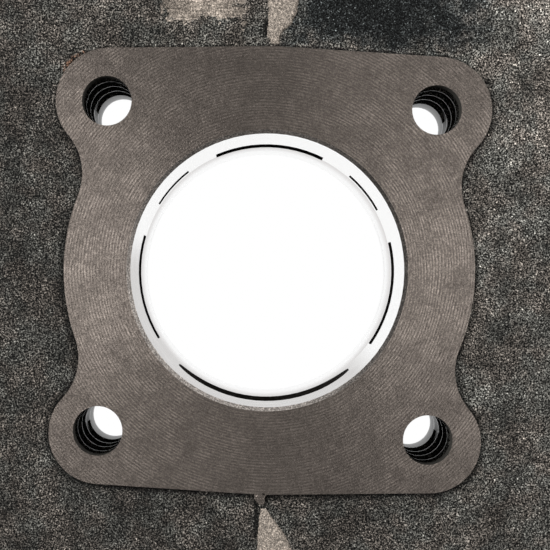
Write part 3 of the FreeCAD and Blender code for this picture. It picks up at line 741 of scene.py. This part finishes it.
def exhaust_thread(name, side):
    """The inward crests of an M6 thread, as one ridge that winds down the blind hole along Y."""
    last = THREAD_TURNS * THREAD_STEPS
    points, faces = [], []
    for k in range(last + 1):
        angle = math.tau * k / THREAD_STEPS
        deep = EXHAUST_CENTRE.y + THREAD_START + THREAD_PITCH * k / THREAD_STEPS
        for radius, shift in THREAD_SECTION:
            x = side * EXHAUST_SPACING / 2 + radius * math.cos(angle)
            points.append((x, deep + shift, EXHAUST_CENTRE.z + radius * math.sin(angle)))
    for k in range(last):
        for j in range(4):
            a, b = 4 * k + j, 4 * k + (j + 1) % 4
            faces.append((a, b, b + 4, a + 4))
    faces.append((3, 2, 1, 0))
    faces.append(tuple(4 * last + j for j in range(4)))
    add_piece(name, points, faces, FINISHES["face"])


exhaust_thread("exhaust_thread_right", 1)
exhaust_thread("exhaust_thread_left", -1)


# Stage

FLOOR_HALF = 1.5
# Distances from the bore's axis between which the floor turns white, like the surround
FLOOR_FADE = (0.20, 0.42)
STAGE_PALE = grey(0.85)
WHITE = grey(1.0)
CARD_SIDES, CARD_REACH, CARD_DROP = 32, STUD_RADIUS + 0.4 * MM, 0.4 * MM
# What the surround gives to the light on the object
SURROUND_LIGHT = 0.30
# Each lamp's place in metres, width, length and power in watts
LAMPS = {
    "lamp_left": ((-0.50, 0.07, 0.66), 0.40, 0.80, 12.0),
    "lamp_right": ((0.50, 0.34, 0.66), 0.40, 1.30, 8.7),
}


def white_behind(g, shown):
    """Plain white in view where shown is 1, and a pale diffuse surface elsewhere."""
    path = g.add("ShaderNodeLightPath")
    seen = g.math("MAXIMUM", path.outputs["Is Camera Ray"], path.outputs["Is Glossy Ray"])
    seen = g.math("MAXIMUM", seen, path.outputs["Is Transmission Ray"])
    diffuse = g.add("ShaderNodeBsdfDiffuse")
    diffuse.inputs["Color"].default_value = STAGE_PALE
    white = g.add("ShaderNodeEmission")
    white.inputs["Color"].default_value = WHITE
    white.inputs["Strength"].default_value = 1.0
    both = g.add("ShaderNodeMixShader")
    g.put(both.inputs[0], g.times(seen, shown))
    g.put(both.inputs[1], diffuse.outputs[0])
    g.put(both.inputs[2], white.outputs[0])
    output = g.add("ShaderNodeOutputMaterial")
    g.put(output.inputs["Surface"], both.outputs[0])
    return g.material


def pale_floor():
    """Pale diffuse floor; it looks white through the bore, and far off, where it meets the surround."""
    g = Graph("pale_floor")
    x, y, _ = g.split(g.place)
    radius = g.hypot(x, y)
    under_bore = g.step(radius, BORE_RADIUS + 1 * MM, BORE_RADIUS)
    return white_behind(g, g.math("MAXIMUM", under_bore, g.step(radius, *FLOOR_FADE)))


def add_backdrop(name, outline, material):
    """One flat face of the stage."""
    data = bpy.data.meshes.new(name)
    data.from_pydata(outline, [], [tuple(range(len(outline)))])
    data.materials.append(material)
    backdrop = bpy.data.objects.new(name, data)
    bpy.context.scene.collection.objects.link(backdrop)


def add_card(name, x, y, material):
    """A small white backdrop under a stud hole, which looks white through it as the floor does."""
    turn = [math.tau * k / CARD_SIDES for k in range(CARD_SIDES)]
    outline = [(x + CARD_REACH * math.cos(a), y + CARD_REACH * math.sin(a), -CARD_DROP) for a in turn]
    add_backdrop(name, outline, material)


def add_world():
    """A plain white surround, whose share of the light on the object is lower."""
    world = bpy.data.worlds.new("surround")
    bpy.context.scene.world = world
    world.use_nodes = True
    tree = world.node_tree
    background = tree.nodes["Background"]
    background.inputs["Color"].default_value = WHITE
    path = tree.nodes.new("ShaderNodeLightPath")
    wanted = background.inputs["Strength"]
    for name in ("Is Camera Ray", "Is Glossy Ray", "Is Transmission Ray"):
        node = tree.nodes.new("ShaderNodeMath")
        node.operation = "MAXIMUM"
        tree.links.new(node.outputs[0], wanted)
        tree.links.new(path.outputs[name], node.inputs[0])
        wanted = node.inputs[1]
    wanted.default_value = SURROUND_LIGHT


def add_lamp(name, place, width, length, power):
    """A soft lamp that faces the middle of the deck; its length lies level."""
    light = bpy.data.lights.new(name, "AREA")
    light.shape = "RECTANGLE"
    light.size = length
    light.size_y = width
    light.energy = power
    lamp = bpy.data.objects.new(name, light)
    lamp.location = place
    lamp.rotation_euler = (Vector((0, 0, DECK)) - Vector(place)).to_track_quat("-Z", "Y").to_euler()
    bpy.context.scene.collection.objects.link(lamp)


def add_camera():
    """Straight above the point that the photograph looks down on, turned by the object's roll."""
    data = bpy.data.cameras.new("camera")
    camera = bpy.data.objects.new("camera", data)
    right = (UNDER_CAMERA_PIXEL[0] - BORE_PIXEL[0]) * METRES_PER_PIXEL
    up = (BORE_PIXEL[1] - UNDER_CAMERA_PIXEL[1]) * METRES_PER_PIXEL
    cos, sin = math.cos(OBJECT_ROLL), math.sin(OBJECT_ROLL)
    camera.location = (right * cos - up * sin, right * sin + up * cos, DECK + CAMERA_ABOVE_DECK)
    camera.rotation_euler = (0, 0, OBJECT_ROLL)
    focal_pixels = CAMERA_ABOVE_DECK / METRES_PER_PIXEL
    data.sensor_width = SENSOR_WIDTH
    data.lens = focal_pixels / PHOTO_PIXELS * SENSOR_WIDTH
    data.shift_x = (PHOTO_PIXELS / 2 - UNDER_CAMERA_PIXEL[0]) / PHOTO_PIXELS
    data.shift_y = (UNDER_CAMERA_PIXEL[1] - PHOTO_PIXELS / 2) / PHOTO_PIXELS
    data.clip_start = 0.01
    bpy.context.scene.collection.objects.link(camera)
    bpy.context.scene.camera = camera


floor_corners = ((-1, -1), (1, -1), (1, 1), (-1, 1))
add_backdrop("floor", [(x * FLOOR_HALF, y * FLOOR_HALF, LOW.z) for x, y in floor_corners], pale_floor())
card_white = white_behind(Graph("card_white"), 1.0)
for side, x in (("left", -STUD_OFFSET), ("right", STUD_OFFSET)):
    for end, y in (("front", -STUD_OFFSET), ("rear", STUD_OFFSET)):
        add_card(f"card_{side}_{end}", x, y, card_white)
add_world()
for name, (place, width, length, power) in LAMPS.items():
    add_lamp(name, place, width, length, power)
add_camera()

bpy.context.scene.view_settings.view_transform = "Standard"
